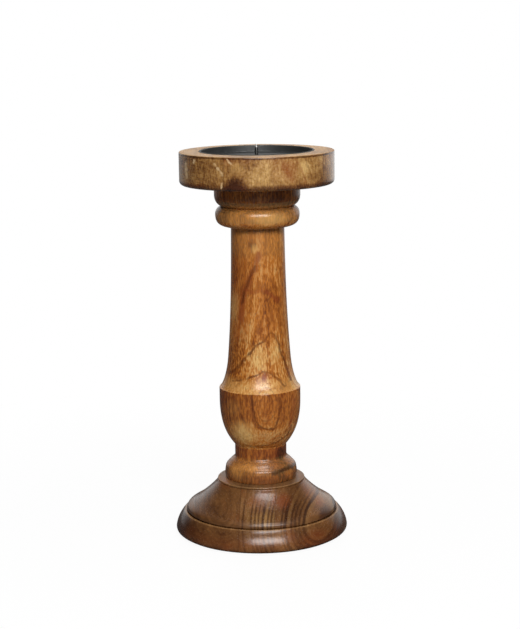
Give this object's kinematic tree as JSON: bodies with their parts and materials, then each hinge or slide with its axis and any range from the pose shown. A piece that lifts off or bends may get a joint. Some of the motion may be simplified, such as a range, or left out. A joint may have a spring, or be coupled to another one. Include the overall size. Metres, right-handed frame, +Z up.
{
  "type": "pricket candle stand",
  "caption": "Turned wooden pillar candle stand: round dish with a black steel drip pan and spike, baluster column and wide moulded foot.",
  "frame": {"origin": "centre of the felt sole, on the surface that the stand rests on", "axes": "+Z up along the turned axis, -Y towards the viewer of the picture"},
  "size_m": [0.1352, 0.1352, 0.3049],
  "materials": {
    "dish_wood": "satin lacquered hardwood, olive brown",
    "column_wood": "satin lacquered hardwood, golden brown",
    "foot_wood": "satin lacquered hardwood, dark walnut brown",
    "black_steel": "black stoved paint on pressed steel",
    "bright_steel": "plain steel wire",
    "felt": "dark wool felt"
  },
  "bodies": {
    "root": {"dish_board_left": "dish_wood", "dish_board_middle": "dish_wood", "dish_board_right": "dish_wood", "column": "column_wood", "foot_board_left": "foot_wood", "foot_board_middle": "foot_wood", "foot_board_right": "foot_wood", "drip_pan": "black_steel", "pricket_spike": "bright_steel", "foot_screw": "bright_steel", "foot_washer": "bright_steel", "felt_pad": "felt"}
  },
  "joints": []
}
